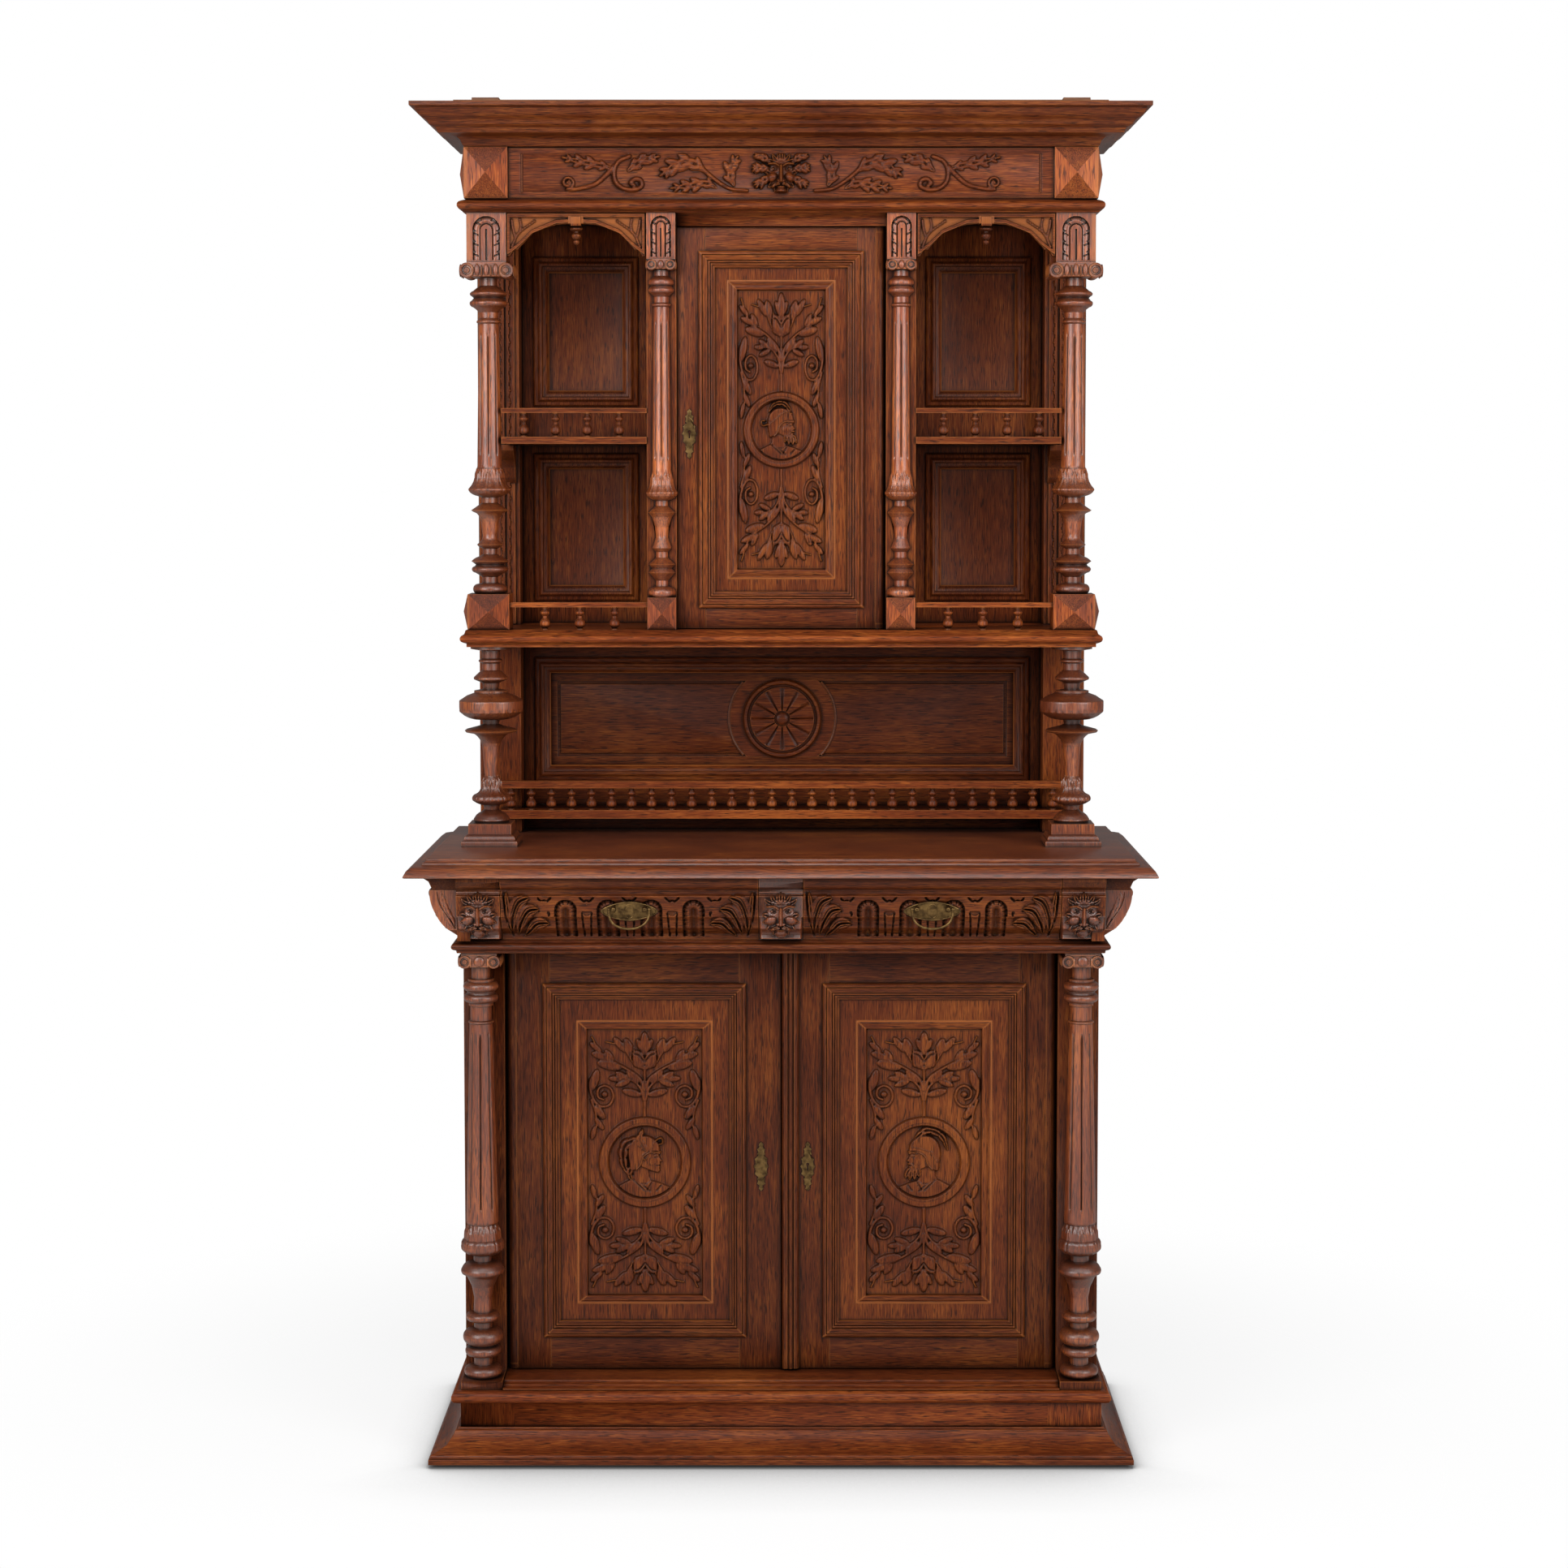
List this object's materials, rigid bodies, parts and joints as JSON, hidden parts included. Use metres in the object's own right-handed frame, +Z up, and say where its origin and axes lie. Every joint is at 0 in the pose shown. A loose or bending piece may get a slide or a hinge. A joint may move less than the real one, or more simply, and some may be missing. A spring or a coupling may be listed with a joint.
{
  "type": "serving cabinet",
  "caption": "Carved oak serving cabinet in two stages: base cupboard with doors and drawers, open bay on turned columns, and an upper cupboard between niches.",
  "frame": {"origin": "middle of the floor area under the cabinet, on the floor", "axes": "+Z up, front of the cabinet towards -Y, +X to the viewer's right"},
  "size_m": [1.3, 0.56, 2.4005],
  "materials": {
    "oak": "stained and waxed",
    "secondary_wood": "plain",
    "brass": "aged",
    "steel": "plain"
  },
  "bodies": {
    "carcass": {"plinth_frame": "oak", "base_moulding": "oak", "base_floor": "oak", "base_back": "secondary_wood", "base_inner_shelf": "secondary_wood", "drawer_rail": "oak", "mask_block_centre": "oak", "worktop": "oak", "backboard_frame": "oak", "backboard_panel": "oak", "long_gallery": "oak", "middle_shelf": "oak", "upper_back": "oak", "entablature": "oak", "cornice": "oak", "top_board": "secondary_wood", "base_post_left": "oak", "base_side_left": "oak", "base_column_left": "oak", "frieze_corner_left": "oak", "bay_column_left": "oak", "upper_column_left": "oak", "rear_post_left": "oak", "niche_shelf_left": "oak", "arch_left": "oak", "cupboard_side_left": "oak", "base_post_right": "oak", "base_side_right": "oak", "base_column_right": "oak", "frieze_corner_right": "oak", "bay_column_right": "oak", "upper_column_right": "oak", "rear_post_right": "oak", "niche_shelf_right": "oak", "arch_right": "oak", "cupboard_side_right": "oak", "door_left_pivot_low": "steel", "door_left_pivot_top": "steel", "door_right_pivot_low": "steel", "door_right_pivot_top": "steel", "cupboard_door_pivot_low": "steel", "cupboard_door_pivot_top": "steel"},
    "door_left": {"door_left_frame": "oak", "door_left_panel": "oak", "door_left_escutcheon": "brass"},
    "door_right": {"door_right_frame": "oak", "door_right_panel": "oak", "door_right_escutcheon": "brass"},
    "cupboard_door": {"cupboard_door_frame": "oak", "cupboard_door_panel": "oak", "cupboard_door_escutcheon": "brass"},
    "drawer_left": {"drawer_left_front": "oak", "drawer_left_box": "secondary_wood", "drawer_left_plate": "brass"},
    "drawer_left_pull": {"drawer_left_bail": "brass"},
    "drawer_right": {"drawer_right_front": "oak", "drawer_right_box": "secondary_wood", "drawer_right_plate": "brass"},
    "drawer_right_pull": {"drawer_right_bail": "brass"}
  },
  "joints": [
    {"name": "door_left_swing", "type": "hinge", "parent": "carcass", "child": "door_left", "pos_m": [-0.478, -0.093, 0.5], "axis": [0, 0, -1], "range_deg": [0, 76]},
    {"name": "door_right_swing", "type": "hinge", "parent": "carcass", "child": "door_right", "pos_m": [0.478, -0.093, 0.5], "axis": [0, 0, 1], "range_deg": [0, 76]},
    {"name": "cupboard_door_swing", "type": "hinge", "parent": "carcass", "child": "cupboard_door", "pos_m": [0.1745, -0.009, 1.8], "axis": [0, 0, 1], "range_deg": [0, 76]},
    {"name": "drawer_left_slide", "type": "slide", "parent": "carcass", "child": "drawer_left", "axis": [0, -1, 0], "range_m": [0, 0.28]},
    {"name": "drawer_left_bail_swing", "type": "hinge", "parent": "drawer_left", "child": "drawer_left_pull", "pos_m": [-0.2625, -0.25011, 0.9862], "axis": [-1, 0, 0], "range_deg": [0, 85]},
    {"name": "drawer_right_slide", "type": "slide", "parent": "carcass", "child": "drawer_right", "axis": [0, -1, 0], "range_m": [0, 0.28]},
    {"name": "drawer_right_bail_swing", "type": "hinge", "parent": "drawer_right", "child": "drawer_right_pull", "pos_m": [0.2625, -0.25011, 0.9862], "axis": [-1, 0, 0], "range_deg": [0, 85]}
  ]
}
